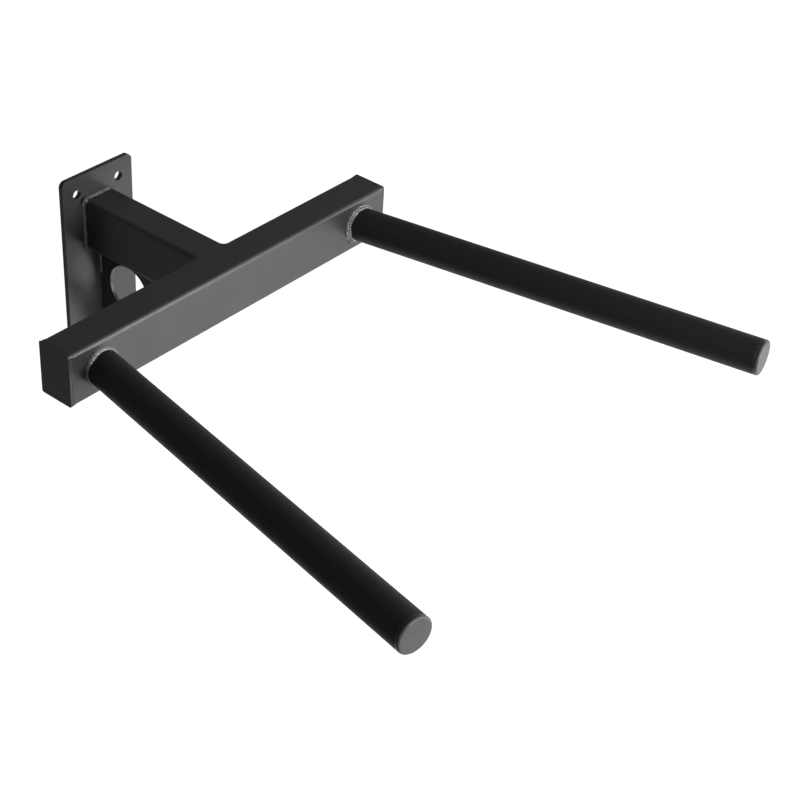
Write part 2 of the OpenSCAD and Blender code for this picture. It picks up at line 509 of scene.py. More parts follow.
def wrapped_grid(name: str, round_steps: int, run_steps: int,
                 place: Callable[[float, float], Vector], closed: bool) -> bpy.types.Object:
    """Lay a grid round a run, as a tube's skin is wrapped, and close its seams and ends.

    Args:
        name: Name of the piece.
        round_steps: Faces round the section.
        run_steps: Faces along the run.
        place: Point of the skin from the share of the section and the share of the run, both 0 to 1.
        closed: Whether the run ends where it starts.

    Returns:
        The closed skin.
    """
    clear_selection()
    bpy.ops.mesh.primitive_grid_add(x_subdivisions=round_steps, y_subdivisions=run_steps, size=1.0)
    piece = name_piece(bpy.context.object, name)
    for vertex in piece.data.vertices:
        vertex.co = place(vertex.co.x + 0.5, vertex.co.y + 0.5)
    bpy.ops.object.mode_set(mode="EDIT")
    bpy.ops.mesh.select_all(action="SELECT")
    bpy.ops.mesh.remove_doubles(threshold=SAME_POINT)
    if not closed:
        bpy.ops.mesh.fill_holes(sides=0)
    bpy.ops.mesh.select_all(action="SELECT")
    bpy.ops.mesh.normals_make_consistent(inside=False)
    bpy.ops.object.mode_set(mode="OBJECT")
    return piece


def smooth_piece(piece: bpy.types.Object, angle_deg: float) -> None:
    """Shade a piece smooth, with its edges over an angle kept sharp.

    Args:
        piece: The piece.
        angle_deg: Angle between faces from which an edge stays sharp.
    """
    clear_selection()
    piece.select_set(True)
    bpy.context.view_layer.objects.active = piece
    bpy.ops.object.shade_smooth_by_angle(angle=math.radians(angle_deg))


def join_pieces(pieces: Sequence[bpy.types.Object], name: str) -> bpy.types.Object:
    """Join several meshes into one piece.

    Args:
        pieces: The meshes.
        name: Name of the joined piece.

    Returns:
        The joined piece.
    """
    clear_selection()
    for piece in pieces:
        piece.select_set(True)
    bpy.context.view_layer.objects.active = pieces[0]
    bpy.ops.object.join()
    return name_piece(bpy.context.object, name)


def hand_over(piece: bpy.types.Object, material: bpy.types.Material, slot: Slot, *nodes: str) -> None:
    """Dress a piece and let it ride on the one body.

    Args:
        piece: The finished piece.
        material: Its material.
        slot: The record's slot for the piece's finish; not used.
        *nodes: CAD nodes that it stands for.
    """
    piece.data.materials.clear()
    piece.data.materials.append(material)
    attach(piece, ROOT_BODY)
    if nodes:
        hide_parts(*nodes)
    LOG.info("%s: %d faces, for %s", piece.name, len(piece.data.polygons), ", ".join(nodes) or "itself")


# The real object's sizes, as in the CAD source


@dataclass(frozen=True)
class StationSizes:
    """Sizes that more than one sub-assembly needs, in metres."""

    plate_t: float = 6 * MM
    plate_h: float = 250 * MM
    tube_w: float = 42 * MM
    tube_h: float = 60 * MM
    tube_r: float = 4.5 * MM
    arm_len: float = 168 * MM
    arm_drop: float = 31 * MM
    beam_len: float = 465 * MM
    beam_end_t: float = 3 * MM
    handle_d: float = 38 * MM
    handle_len: float = 468 * MM
    handle_inset: float = 41 * MM
    handle_splay: float = math.radians(10.5)
    gusset_t: float = 4 * MM
    gusset_leg: float = 150 * MM
    gusset_tip: float = 10 * MM
    gusset_corner: float = 7 * MM

    @property
    def axis_z(self) -> float:
        """Middle height of the tubes and the handles."""
        return self.plate_h / 2 - self.arm_drop - self.tube_h / 2

    @property
    def arm_bottom_z(self) -> float:
        """Height of the arm's lower face."""
        return self.axis_z - self.tube_h / 2

    @property
    def beam_back_y(self) -> float:
        """The crossbeam's back face."""
        return -self.plate_t - self.arm_len

    @property
    def beam_front_y(self) -> float:
        """The crossbeam's front face."""
        return self.beam_back_y - self.tube_w

    def handle_root(self, side: Side) -> Vector:
        """Centre of a handle's root on the crossbeam's front face."""
        return Vector((side.value * (self.beam_len / 2 - self.handle_inset), self.beam_front_y, self.axis_z))

    def handle_axis(self, side: Side) -> Vector:
        """Way from a handle's root to its tip."""
        return Vector((side.value * math.sin(self.handle_splay), -math.cos(self.handle_splay), 0.0))

    def across_handle(self, side: Side) -> Vector:
        """Level way across a handle, away from the middle on the right side."""
        return Vector((math.cos(self.handle_splay), side.value * math.sin(self.handle_splay), 0.0))


# Weld beads


@dataclass(frozen=True)
class BeadRun:
    """The run of one bead, with the uneven levels and toes of its puddles."""

    length: float
    closed: bool
    levels: Sequence[float]
    toes: Sequence[tuple[float, float]]

    def bell(self, share: float, peak: float, half: float) -> float:
        """Height of a bell curve that stands on the run.

        Args:
            share: Share of the run.
            peak: Share of the run where the curve peaks.
            half: Half width of the curve, in metres.

        Returns:
            The height, 0 to 1.
        """
        gap = abs(share - peak)
        return math.exp(-((min(gap, 1.0 - gap) * self.length / half) ** 2))


@dataclass
class RippledBead:
    """A fillet bead of overlapping puddles, wrapped round its run.

    Attributes:
        leg_first: Leg along the first face.
        leg_second: Leg along the second face.
        crown: Rise of the bead's middle over the flat between its toes.
        ripple: Height of the puddles' rims.
        pitch: Length of a puddle.
        fewest: Number of puddles that even a short bead has.
        level_low: Share of the ripple in the flattest puddle.
        level_high: Share of the ripple in the liveliest puddle.
        puddle_mean: Share of the ripple that lies below the crown.
        chevron: How far the rims trail in the middle, in puddles.
        toe_wander: How far the toes stray.
        groove: Depth of the undercut along the middle.
        groove_half: Half width of that undercut, as a share of the face.
        end_reach: Length of an open end's round, in legs.
        end_height: Fullness at the very end.
        sunk: How deep the toes and the back lie in the steel.
        face_steps: Faces over the open face.
        back_steps: Faces along the hidden back.
        steps_per_ripple: Faces to a puddle along the run.
        sharp_deg: Angle from which an edge stays sharp.
        seed: Seed of the uneven levels and toes.
        lumps: Start and stop lumps.
        swells: Fuller and leaner stretches.
    """

    leg_first: float = 4.0 * MM
    leg_second: float = 4.0 * MM
    crown: float = 0.45 * MM
    ripple: float = 0.20 * MM
    pitch: float = 1.5 * MM
    fewest: int = 8
    level_low: float = 0.75
    level_high: float = 1.2
    puddle_mean: float = 0.6
    chevron: float = 0.9
    toe_wander: float = 0.35 * MM
    groove: float = 0.0
    groove_half: float = 0.13
    end_reach: float = 0.9
    end_height: float = 0.12
    sunk: float = 0.06 * MM
    face_steps: int = 12
    back_steps: int = 3
    steps_per_ripple: int = 7
    sharp_deg: float = 50.0
    seed: int = 1
    lumps: Sequence[Spot] = ()
    swells: Sequence[Spot] = ()

    def build(self, name: str, length: float, station: Callable[[float], BeadStation],
              closed: bool) -> bpy.types.Object:
        """Build one bead.

        Args:
            name: Name of the piece.
            length: Length of the run.
            station: The corner and the ways along both faces, from the share of the run.
            closed: Whether the run ends where it starts.

        Returns:
            The bead.
        """
        draw = random.Random(self.seed)
        count = max(self.fewest, round(length / self.pitch))
        levels = [draw.uniform(self.level_low, self.level_high) for _ in range(count + 1)]
        toes = [(draw.uniform(-1, 1), draw.uniform(-1, 1)) for _ in range(count + 1)]
        if closed:
            levels[count] = levels[0]
            toes[count] = toes[0]
        run = BeadRun(length, closed, levels, toes)
        total = self.face_steps + self.back_steps

        def place(round_share: float, run_share: float) -> Vector:
            """Find a point of the bead's skin.

            Args:
                round_share: Share of the section, over the open face and along the hidden back.
                run_share: Share of the run.

            Returns:
                The point.
            """
            share = 0.0 if closed and run_share >= 1.0 - ROUNDING else run_share
            step = round(round_share * total) % total
            if step > self.face_steps:
                along = (step - self.face_steps) / self.back_steps
                return self._back_point(run, station(share), share, along)
            return self._face_point(run, station(share), share, step / self.face_steps)

        piece = wrapped_grid(name, total, count * self.steps_per_ripple, place, closed)
        smooth_piece(piece, self.sharp_deg)
        return piece

    def _fullness(self, run: BeadRun, share: float) -> float:
        """How full the bead is: 1 on a plain stretch, less at an open run's ends, more or less in a swell.

        Args:
            run: The bead's run.
            share: Share of the run.

        Returns:
            The fullness.
        """
        swell = 1.0 + sum(extra * run.bell(share, peak, half) for peak, extra, half in self.swells)
        if run.closed:
            return swell
        from_end = min(share, 1.0 - share) * run.length
        ratio = min(1.0, from_end / (self.end_reach * self.leg_first))
        dome = math.sqrt(max(0.0, 1.0 - (1.0 - ratio) ** 2))
        return swell * (self.end_height + (1.0 - self.end_height) * dome)

    def _face_point(self, run: BeadRun, at: BeadStation, share: float, across: float) -> Vector:
        """Find a point on the bead's open face.

        Args:
            run: The bead's run.
            at: The place on the run.
            share: The same place as a share of the run.
            across: Share of the way from the first face's toe to the second's.

        Returns:
            The point.
        """
        corner, first, second = at
        full = self._fullness(run, share)
        count = len(run.levels) - 1
        ripples = share * count
        whole = int(ripples) % count
        part = ripples - int(ripples)
        ease = part * part * (3 - 2 * part)
        toe_a = run.toes[whole][0] * (1 - ease) + run.toes[whole + 1][0] * ease
        toe_b = run.toes[whole][1] * (1 - ease) + run.toes[whole + 1][1] * ease
        level = run.levels[whole] * (1 - ease) + run.levels[whole + 1] * ease
        leg_a = (self.leg_first + self.toe_wander * toe_a) * full
        leg_b = (self.leg_second + self.toe_wander * toe_b) * full
        middle = 1.0 - (2 * across - 1) ** 2
        puddle = abs(math.sin(math.pi * (ripples + self.chevron * middle))) - self.puddle_mean
        lump = sum(height * run.bell(share, peak, half) for peak, height, half in self.lumps)
        rise = (self.crown * full + lump) * middle
        rise += self.ripple * level * puddle * math.sqrt(max(middle, 0.0)) * full
        rise -= self.groove * full * math.exp(-(((across - 0.5) / self.groove_half) ** 2))
        out = (first + second).normalized()
        point = corner + first * (leg_a * (1 - across)) + second * (leg_b * across) + out * rise
        toe = max(0.0, 1.0 - 4 * min(across, 1 - across))
        return point - out * (self.sunk * toe)

    def _back_point(self, run: BeadRun, at: BeadStation, share: float, along: float) -> Vector:
        """Find a point on the bead's hidden back.

        Args:
            run: The bead's run.
            at: The place on the run.
            share: The same place as a share of the run.
            along: Share of the way from the second face's toe round the corner to the first's.

        Returns:
            The point.
        """
        corner, first, second = at
        full = self._fullness(run, share)
        if along < 0.5:
            base = second * (self.leg_second * full * (0.5 - along))
        else:
            base = first * (self.leg_first * full * (along - 0.5))
        return corner + base - (first + second) * self.sunk


@dataclass
class HandleBeads:
    """The beads round both handles' roots.

    Attributes:
        sizes: The station's sizes.
        run_out: How far outside the tube's skin the bead's length is measured.
        small_turn: Turn, in radians, over which the way of the run is taken.
        look: Each side's bead.
    """

    sizes: StationSizes
    run_out: float = 1.5 * MM
    small_turn: float = 0.001
    look: dict[Side, RippledBead] = field(default_factory=lambda: {
        Side.LEFT: RippledBead(leg_first=3.1 * MM, leg_second=3.8 * MM, ripple=0.16 * MM, crown=0.7 * MM,
                               pitch=2.0 * MM, toe_wander=0.25 * MM, seed=11,
                               lumps=((0.34, 0.4 * MM, 5 * MM), (0.12, -0.3 * MM, 3 * MM)),
                               swells=((0.58, -0.5, 15 * MM), (0.36, 0.35, 9 * MM))),
        Side.RIGHT: RippledBead(leg_first=3.6 * MM, leg_second=4.0 * MM, ripple=0.50 * MM, crown=0.8 * MM,
                                pitch=3.0 * MM, toe_wander=0.5 * MM, groove=0.75 * MM, seed=29,
                                lumps=((0.52, 1.0 * MM, 2.4 * MM), (0.587, -1.3 * MM, 1.5 * MM),
                                       (0.63, 1.1 * MM, 2.0 * MM)),
                                swells=((0.52, 0.3, 2.6 * MM), (0.63, 0.3, 2.4 * MM),
                                        (0.78, -0.5, 10 * MM))),
    })

    def station(self, side: Side, share: float) -> BeadStation:
        """Corner of the bead's run, where the slanted tube meets the crossbeam.

        Args:
            side: Which handle.
            share: Share of the run, from the outer side over the top.

        Returns:
            The corner and the ways along the crossbeam and along the handle.
        """
        root = self.sizes.handle_root(side)
        axis = self.sizes.handle_axis(side)
        across = self.sizes.across_handle(side)
        radius = self.sizes.handle_d / 2

        def corner(turn: float) -> Vector:
            """Point where a line along the tube's skin meets the crossbeam."""
            spoke = across * math.cos(turn) + Vector((0, 0, 1)) * math.sin(turn)
            return root + spoke * radius + axis * (-radius * spoke.y / axis.y)

        turn = share * math.tau
        here = corner(turn)
        along = (corner(turn + self.small_turn) - corner(turn - self.small_turn)).normalized()
        outward = along.cross(Vector((0, -1, 0))).normalized()
        if outward.dot(here - root) < 0:
            outward = -outward
        return here, outward, axis

    def build(self, side: Side) -> bpy.types.Object:
        """Build the bead round one handle's root.

        Args:
            side: Which handle.

        Returns:
            The bead.
        """
        length = math.tau * (self.sizes.handle_d / 2 + self.run_out)
        return self.look[side].build(f"bead_handle_{side.word}", length,
                                     lambda share: self.station(side, share), True)

    def dress(self, side: Side, coat: bpy.types.Material) -> None:
        """Build one handle's bead and coat it."""
        hand_over(self.build(side), coat, Slot.WELD, f"weld_handle_{side.word}")


@dataclass
class ArmFootBead:
    """The bead round the arm's foot on the wall plate."""

    sizes: StationSizes
    look: RippledBead = field(default_factory=lambda: RippledBead(
        leg_first=2.4 * MM, leg_second=1.8 * MM, crown=0.2 * MM, ripple=0.18 * MM, pitch=3.4 * MM,
        toe_wander=0.3 * MM, groove=0.30 * MM, seed=5,
        lumps=((0.352, 2.6 * MM, 3.4 * MM), (0.635, 1.0 * MM, 2.2 * MM)),
        swells=((0.352, 1.7, 3.4 * MM), (0.635, 0.6, 2.5 * MM))))

    def station(self, share: float) -> BeadStation:
        """Corner of the run round the box tube, anticlockwise from the middle of its right side.

        Args:
            share: Share of the run.

        Returns:
            The corner and the ways along the plate and along the arm.
        """
        half_w, half_h, radius = self.sizes.tube_w / 2, self.sizes.tube_h / 2, self.sizes.tube_r
        flat_w, flat_h, arc = 2 * (half_w - radius), 2 * (half_h - radius), math.pi / 2 * radius
        rest = share * self.run_length()
        # Flats and arcs by turns, with their lengths and the way that each starts out facing, in degrees
        legs = [(flat_h / 2, 0.0), (arc, 0.0), (flat_w, 90.0), (arc, 90.0), (flat_h, 180.0), (arc, 180.0),
                (flat_w, 270.0), (arc, 270.0), (flat_h / 2, 360.0)]
        # Signs of the arcs' centres, and the points where the flats start
        centres = [(1, 1), (-1, 1), (-1, -1), (1, -1)]
        starts = [(half_w, 0.0), (half_w - radius, half_h), (-half_w, half_h - radius),
                  (-half_w + radius, -half_h), (half_w, -half_h + radius)]
        index = 0
        while index < len(legs) - 1 and rest > legs[index][0]:
            rest -= legs[index][0]
            index += 1
        heading = legs[index][1]
        if index % 2:
            centre = centres[index // 2]
            turn = math.radians(heading + 90 * rest / arc)
            x = centre[0] * (half_w - radius) + radius * math.cos(turn)
            z = centre[1] * (half_h - radius) + radius * math.sin(turn)
        else:
            turn = math.radians(heading)
            start = starts[index // 2]
            x = start[0] - math.sin(turn) * rest
            z = start[1] + math.cos(turn) * rest
        corner = Vector((x, -self.sizes.plate_t, self.sizes.axis_z + z))
        return corner, Vector((math.cos(turn), 0, math.sin(turn))), Vector((0, -1, 0))

    def run_length(self) -> float:
        """Length round the box tube."""
        straight = 2 * (self.sizes.tube_w + self.sizes.tube_h) - 8 * self.sizes.tube_r
        return straight + math.tau * self.sizes.tube_r

    def build(self) -> bpy.types.Object:
        """Build the bead."""
        return self.look.build("bead_arm_foot", self.run_length(), self.station, True)

    def dress(self, coat: bpy.types.Material) -> None:
        """Build the bead and coat it."""
        hand_over(self.build(), coat, Slot.WELD, "weld_arm_to_wall_plate")


@dataclass
class GussetBeads:
    """The stitch beads on both sides of the gusset's two legs."""

    sizes: StationSizes
    stitch_len: float = 32 * MM
    plate_leg_seed: int = 41
    arm_leg_seed: int = 51
    look: RippledBead = field(default_factory=lambda: RippledBead(
        leg_first=2.0 * MM, leg_second=2.4 * MM, crown=0.3 * MM, ripple=0.20 * MM, pitch=1.5 * MM,
        toe_wander=0.3 * MM))

    def leg(self, name: str, start: Vector, way: Vector, base: Vector, seed: int) -> bpy.types.Object:
        """Build the four stitches of one leg.

        Args:
            name: Name of the piece.
            start: Where the leg would meet the other leg, on the gusset's middle plane.
            way: Way along the leg.
            base: Way away from the face that the gusset stands on.
            seed: Number before the first stitch's own, which draws its ripples and ends its name.

        Returns:
            The stitches, as one piece.
        """
        far_end = self.sizes.gusset_leg - self.sizes.gusset_tip
        beads = []
        for sign in (-1, 1):
            sideways = Vector((sign, 0, 0))
            for begin in (self.sizes.gusset_corner, far_end - self.stitch_len):
                foot = start + sideways * (self.sizes.gusset_t / 2) + way * begin
                seed += 1
                self.look.seed = seed

                def station(share: float, foot: Vector = foot, sideways: Vector = sideways) -> BeadStation:
                    """Place on the stitch from the share of its run."""
                    return foot + way * (share * self.stitch_len), sideways, base

                beads.append(self.look.build(f"{name}_{seed}", self.stitch_len, station, False))
        return join_pieces(beads, name)

    def build(self) -> dict[str, bpy.types.Object]:
        """Build the stitches of both legs.

        Returns:
            The pieces by the CAD node that they stand for.
        """
        start = Vector((0, -self.sizes.plate_t, self.sizes.arm_bottom_z))
        down, out = Vector((0, 0, -1)), Vector((0, -1, 0))
        return {
            "weld_gusset_to_wall_plate": self.leg("stitches_gusset_to_plate", start, down, out,
                                                  self.plate_leg_seed),
            "weld_gusset_to_arm": self.leg("stitches_gusset_to_arm", start, out, down, self.arm_leg_seed),
        }

    def dress(self, coat: bpy.types.Material) -> None:
        """Build the stitches and coat them."""
        for node, piece in self.build().items():
            hand_over(piece, coat, Slot.WELD, node)


@dataclass
class EndSeam:
    """Weld between the crossbeam's end and its end plate, ground nearly flush.

    Attributes:
        sizes: The station's sizes.
        side: Which end.
        plate_r: Corner radius at the end plate, smaller than the tube's.
        seam_w: Width of the seam along the flats.
        fill_len: Width of the fill at the corners, where it runs out on the tube.
        depth: Depth of the seam's hidden back.
        crown: Height left on the ground seam.
        groove: Depth of the line along the end plate.
        ragged: Unevenness of the crown.
        ragged_waves: Radians per step of the two waves that make it uneven.
        feather: How far the fill's outer edge sinks into the tube.
        radius_power: How fast the corner radius grows away from the plate.
        groove_power: How narrow the groove is.
        feather_power: How narrow the sunken edge is.
        fill_power: How close to the corners the fill keeps.
        sharp_deg: Angle from which an edge stays sharp.
        skin_steps: Faces across the seam.
        back_steps: Faces along its hidden back.
        arc_steps: Faces round a corner.
        flat_steps: Faces along a flat.
    """

    sizes: StationSizes
    side: Side
    plate_r: float = 2.8 * MM
    seam_w: float = 2.2 * MM
    fill_len: float = 5 * MM
    depth: float = 1.3 * MM
    crown: float = 0.09 * MM
    groove: float = 0.16 * MM
    ragged: float = 0.03 * MM
    ragged_waves: tuple[float, float] = (1.7, 0.61)
    feather: float = 0.05 * MM
    radius_power: float = 0.8
    groove_power: int = 8
    feather_power: int = 6
    fill_power: int = 6
    sharp_deg: float = 40.0
    skin_steps: int = 10
    back_steps: int = 3
    arc_steps: int = 10
    flat_steps: int = 14

    def outline(self, corner: int, share: float, radius: float) -> Vector:
        """Point on a corner's arc, in the crossbeam's section.

        Args:
            corner: 0 front top, 1 back top, 2 back bottom, 3 front bottom.
            share: Share of the arc.
            radius: Radius of the corner.

        Returns:
            The point from the section's centre: to the front, up, and 0.
        """
        signs = ((1, 1), (-1, 1), (-1, -1), (1, -1))[corner]
        turn = math.pi / 2 * (corner + share)
        return Vector((signs[0] * (self.sizes.tube_w / 2 - radius) + radius * math.cos(turn),
                       signs[1] * (self.sizes.tube_h / 2 - radius) + radius * math.sin(turn), 0.0))

    def point(self, section_share: float, run_share: float) -> Vector:
        """Point of the seam's skin.

        Args:
            section_share: Share of the section, from the end plate along the outside and back.
            run_share: Share of the way round the crossbeam.

        Returns:
            The point.
        """
        per_corner = self.arc_steps + self.flat_steps
        step = round(run_share * 4 * per_corner) % (4 * per_corner)
        corner, rest = divmod(step, per_corner)
        on_arc = min(1.0, rest / self.arc_steps)
        on_flat = max(0.0, (rest - self.arc_steps) / self.flat_steps)
        section_steps = self.skin_steps + self.back_steps
        index = round(section_share * section_steps) % section_steps
        skin = min(index / self.skin_steps, 1.0)
        radius = self.plate_r + (self.sizes.tube_r - self.plate_r) * skin ** self.radius_power
        next_arc = self.outline((corner + 1) % 4, 0.0, radius)
        place = self.outline(corner, on_arc, radius).lerp(next_arc, on_flat)
        near_corner = abs(2 * on_flat - 1) ** self.fill_power if on_flat > 0 else 1.0
        if index > self.skin_steps:
            distance = self.seam_w if index == self.skin_steps + 1 else 0.0
            lift = -self.depth
        else:
            distance = (self.seam_w + (self.fill_len - self.seam_w) * near_corner) * skin
            quick, slow = (math.sin(step * wave) for wave in self.ragged_waves)
            lift = (self.crown + self.ragged * quick * slow) * math.sin(math.pi * skin)
            lift -= self.groove * (1 - skin) ** self.groove_power
            lift -= self.feather * skin ** self.feather_power
        turn = math.pi / 2 * (corner + on_arc)
        place = place + Vector((math.cos(turn), math.sin(turn), 0.0)) * lift
        x = self.side.value * (self.sizes.beam_len / 2 - self.sizes.beam_end_t - distance)
        middle_y = self.sizes.beam_back_y - self.sizes.tube_w / 2
        return Vector((x, middle_y - place.x, self.sizes.axis_z + place.y))

    def build(self) -> bpy.types.Object:
        """Build the seam.

        Returns:
            The seam.
        """
        piece = wrapped_grid(f"seam_end_{self.side.word}", self.skin_steps + self.back_steps,
                             4 * (self.arc_steps + self.flat_steps), self.point, True)
        smooth_piece(piece, self.sharp_deg)
        return piece

    def dress(self, coat: bpy.types.Material) -> None:
        """Build the seam and coat it."""
        hand_over(self.build(), coat, Slot.WELD, f"weld_end_plate_{self.side.word}")


@dataclass(frozen=True)
class Spatter:
    """A drop of weld metal that stayed on the steel.

    Attributes:
        name: Name of the piece.
        place: Centre of the drop.
        stretch: Its half sizes.
        seed: Seed of its waves.
        segments: Faces round it.
        rings: Faces from pole to pole.
        waves: Number of waves in its skin.
        wave_reach: Radians per radius of the drop in the steepest wave.
        phase_reach: Latest start of a wave, in radians.
        unevenness: Share by which each wave swells the skin.
        sharp_deg: Angle from which an edge stays sharp.
    """

    name: str
    place: tuple[float, float, float]
    stretch: tuple[float, float, float]
    seed: int
    segments: int = 28
    rings: int = 16
    waves: int = 4
    wave_reach: float = 2.6
    phase_reach: float = 6.0
    unevenness: float = 0.07
    sharp_deg: float = 60.0

    def build(self) -> bpy.types.Object:
        """Build the drop, with a slightly uneven skin.

        Returns:
            The drop, in its place.
        """
        clear_selection()
        bpy.ops.mesh.primitive_uv_sphere_add(segments=self.segments, ring_count=self.rings, radius=1.0)
        drop = name_piece(bpy.context.object, self.name)
        draw = random.Random(self.seed)
        waves = [(Vector([draw.uniform(-self.wave_reach, self.wave_reach) for _ in range(3)]),
                  draw.uniform(0, self.phase_reach)) for _ in range(self.waves)]
        for vertex in drop.data.vertices:
            swell = 1 + self.unevenness * sum(math.sin(wave.dot(vertex.co) + phase) for wave, phase in waves)
            vertex.co = Vector(self.stretch) * (vertex.co * swell) + Vector(self.place)
        smooth_piece(drop, self.sharp_deg)
        return drop

    def dress(self, coat: bpy.types.Material) -> None:
        """Build the drop and coat it."""
        hand_over(self.build(), coat, Slot.WELD)


SPATTER = (
    Spatter("spatter_right_end", place=(231.9 * MM, -215.6 * MM, 80 * MM),
            stretch=(0.7 * MM, 0.6 * MM, 1.3 * MM), seed=3),
    Spatter("spatter_left_end", place=(-231.9 * MM, -175.3 * MM, 93.0 * MM),
            stretch=(0.6 * MM, 0.9 * MM, 1.1 * MM), seed=8),
)


# End plugs


@dataclass
class EndPlug:
    """Moulded plug in a handle's open end.

    Attributes:
        sizes: The station's sizes.
        side: Which handle.
        head_t: Thickness of the head.
        round_r: Radius of the head's outer edge.
        rim_width: Width of the flat rim inside that edge.
        rim_drop: How far the rim lies below the middle of the face.
        flange_gap: Height of the shadow gap between the tube and the head.
        flange_depth: Depth of that gap.
        flange_lead: Width of the slope into it.
        flange_ease: Steps of the head's lower edge: inwards from the outside, and up from the gap.
        floor_t: Depth of the stem's floor below the tube's end.
        bore_ease: Slope at the edge of that floor.
        stem_len: Length of the stem.
        stem_r: Radius of the stem.
        stem_wall: Wall of the stem.
        lead_width: Width of the slope at the stem's end.
        lead_len: Length of that slope.
        ribs: Number of grip ribs.
        rib_height: Height of a rib.
        rib_shape: A rib's corners: share of its height, and way along the stem.
        arc_steps: Steps of the head's outer edge.
        face_steps: Steps of the face from the rim to the middle.
        turns: Faces round the axis.
        merge: Distance within which points are one.
        sharp_deg: Angle from which an edge stays sharp.
    """

    sizes: StationSizes
    side: Side
    head_t: float = 5.0 * MM
    round_r: float = 2.4 * MM
    rim_width: float = 0.9 * MM
    rim_drop: float = 0.12 * MM
    flange_gap: float = 0.25 * MM
    flange_depth: float = 0.5 * MM
    flange_lead: float = 0.5 * MM
    flange_ease: Sequence[tuple[float, float]] = ((0.12 * MM, 0.10 * MM), (0.0, 0.35 * MM))
    floor_t: float = 0.6 * MM
    bore_ease: float = 1.0 * MM
    stem_len: float = 24 * MM
    stem_r: float = 15.2 * MM
    stem_wall: float = 2 * MM
    lead_width: float = 0.6 * MM
    lead_len: float = 1.5 * MM
    ribs: int = 4
    rib_height: float = 1.2 * MM
    rib_shape: Sequence[tuple[float, float]] = ((0.0, -0.9 * MM), (1.0, -0.1 * MM), (1.0, 0.5 * MM),
                                                (0.0, 0.6 * MM))
    arc_steps: int = 8
    face_steps: int = 8
    turns: int = 96
    merge: float = 1e-6
    sharp_deg: float = 40.0

    def stem_profile(self) -> list[tuple[float, float]]:
        """Outline of the stem, from its inside round its end and over its ribs.

        Returns:
            Points of radius and height above the tube's end.
        """
        bore = self.stem_r - self.stem_wall
        points = [(0.0, -self.floor_t), (bore - self.bore_ease, -self.floor_t),
                  (bore, -self.floor_t - self.bore_ease), (bore, -self.stem_len),
                  (self.stem_r - self.lead_width, -self.stem_len),
                  (self.stem_r, -self.stem_len + self.lead_len)]
        pitch = self.stem_len / (self.ribs + 1)
        for index in range(self.ribs, 0, -1):
            points += [(self.stem_r + rise * self.rib_height, way - index * pitch)
                       for rise, way in self.rib_shape]
        return points

    def profile(self) -> list[tuple[float, float]]:
        """Outline of the plug from the stem's inside to the middle of its face.

        Returns:
            Points of radius and height above the tube's end.
        """
        outer = self.sizes.handle_d / 2
        seat = outer - self.flange_depth
        points = self.stem_profile()
        points += [(self.stem_r, 0.0), (seat - self.flange_lead, 0.0), (seat, self.flange_gap)]
        points += [(outer - inwards, self.flange_gap + up) for inwards, up in self.flange_ease]
        edge_z = self.head_t - self.round_r - self.rim_drop
        for index in range(self.arc_steps + 1):
            turn = math.radians(90 * index / self.arc_steps)
            points.append((outer - self.round_r + self.round_r * math.cos(turn),
                           edge_z + self.round_r * math.sin(turn)))
        rim = outer - self.round_r - self.rim_width
        points.append((rim, self.head_t - self.rim_drop))
        for index in range(1, self.face_steps + 1):
            share = index / self.face_steps
            points.append((rim * (1 - share), self.head_t - self.rim_drop * (1 - share) ** 2))
        return points

    def build(self) -> bpy.types.Object:
        """Spin the outline about the handle's axis.

        Returns:
            The plug, in its place.
        """
        clear_selection()
        points = self.profile()
        bpy.ops.mesh.primitive_circle_add(vertices=len(points), radius=self.sizes.handle_d / 2,
                                          fill_type="NOTHING")
        piece = name_piece(bpy.context.object, f"end_plug_{self.side.word}")
        for vertex, (radius, height) in zip(piece.data.vertices, points):
            vertex.co = Vector((radius, 0.0, height))
        bpy.ops.object.mode_set(mode="EDIT")
        bpy.ops.mesh.select_all(action="SELECT")
        bpy.ops.mesh.spin(steps=self.turns, angle=math.tau, center=(0, 0, 0), axis=(0, 0, 1))
        bpy.ops.mesh.select_all(action="SELECT")
        bpy.ops.mesh.remove_doubles(threshold=self.merge)
        bpy.ops.mesh.select_all(action="SELECT")
        bpy.ops.mesh.normals_make_consistent(inside=False)
        bpy.ops.object.mode_set(mode="OBJECT")
        across = self.sizes.across_handle(self.side)
        axis = self.sizes.handle_axis(self.side)
        upright = axis.cross(across)
        turn = Matrix((across, upright, axis)).transposed().to_4x4()
        tip = self.sizes.handle_root(self.side) + axis * self.sizes.handle_len
        piece.data.transform(Matrix.Translation(tip) @ turn)
        smooth_piece(piece, self.sharp_deg)
        return piece

    def dress(self, plastic: bpy.types.Material) -> None:
        """Build the plug and give it its plastic."""
        hand_over(self.build(), plastic, Slot.PLUG, f"handle_end_plug_{self.side.word}")


# Steel that stays as the CAD has it


